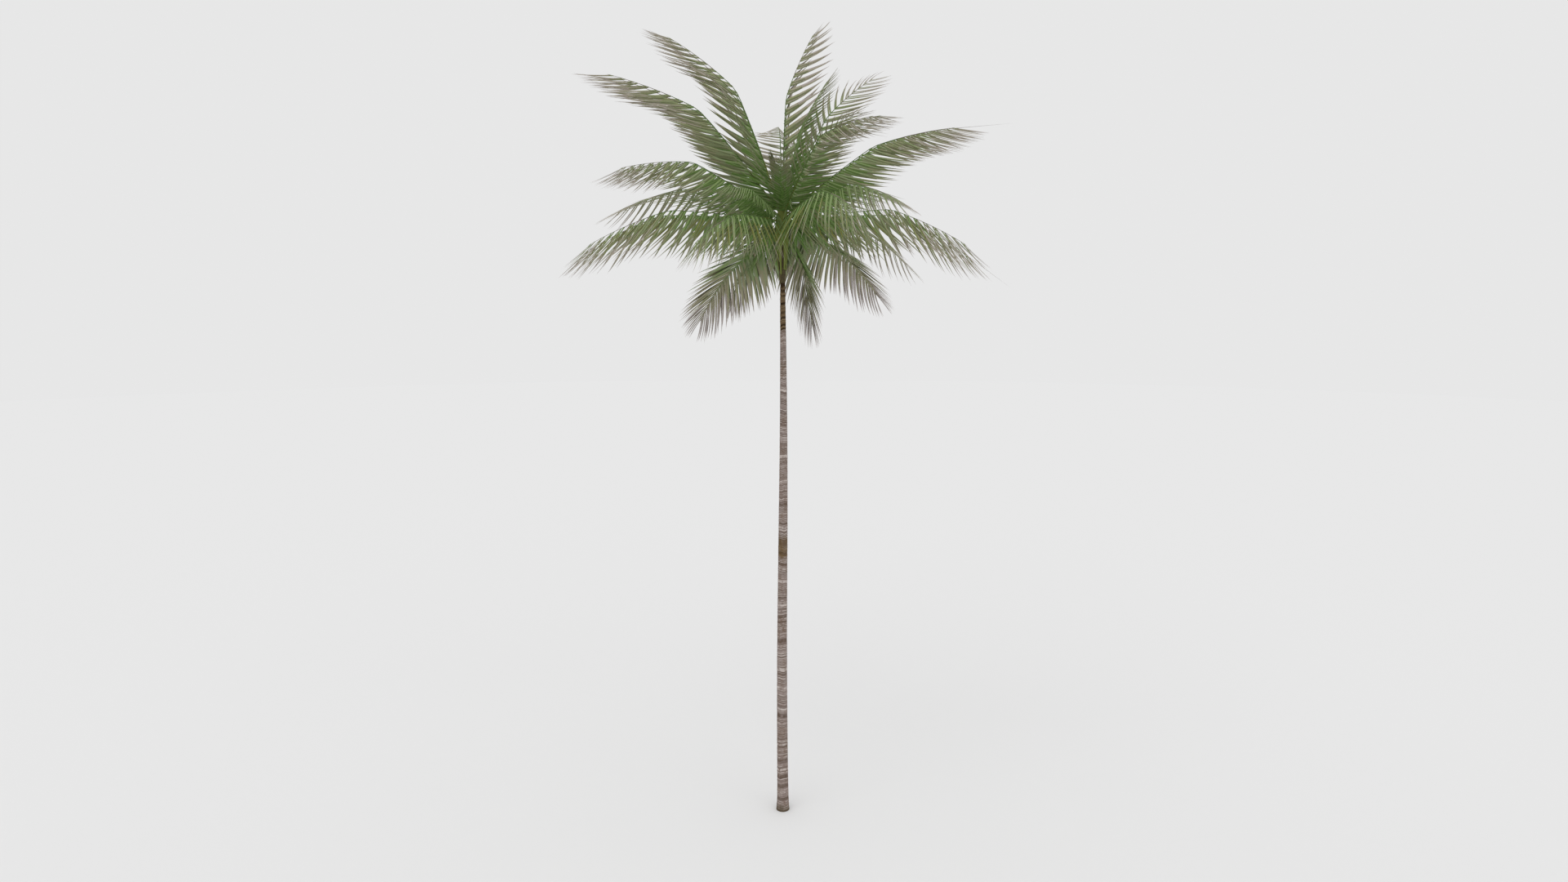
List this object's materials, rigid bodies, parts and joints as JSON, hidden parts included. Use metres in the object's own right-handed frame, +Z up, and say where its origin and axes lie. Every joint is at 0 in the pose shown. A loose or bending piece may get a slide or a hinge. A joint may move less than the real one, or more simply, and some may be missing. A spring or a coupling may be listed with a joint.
{
  "type": "palm tree",
  "caption": "Tall slender feather palm with a tapering flared trunk, a head of leaf sheaths and a full crown of arching fronds.",
  "frame": {"origin": "middle of the flat cut under the trunk, at ground level", "axes": "+Z up along the trunk, -Y towards the side that the picture shows, +X to the right in that view"},
  "size_m": [10.8478, 10.1674, 17.7909],
  "materials": {
    "bark": "matt ringed bark, rough all over",
    "sheath": "fibrous leaf bases, dull",
    "frond": "leaf blade with a soft satin sheen"
  },
  "bodies": {
    "root": {"trunk": "bark", "leaf_sheaths": "sheath", "frond_01": "frond", "frond_02": "frond", "frond_03": "frond", "frond_04": "frond", "frond_05": "frond", "frond_06": "frond", "frond_07": "frond", "frond_08": "frond", "frond_09": "frond", "frond_10": "frond", "frond_11": "frond", "frond_12": "frond", "frond_13": "frond", "frond_14": "frond", "frond_15": "frond", "frond_16": "frond", "frond_17": "frond", "frond_18": "frond", "frond_19": "frond", "frond_20": "frond", "frond_21": "frond", "frond_22": "frond", "frond_23": "frond", "frond_24": "frond", "frond_25": "frond", "frond_26": "frond", "frond_27": "frond", "frond_28": "frond", "frond_29": "frond", "frond_30": "frond", "frond_31": "frond", "frond_32": "frond"}
  },
  "joints": []
}
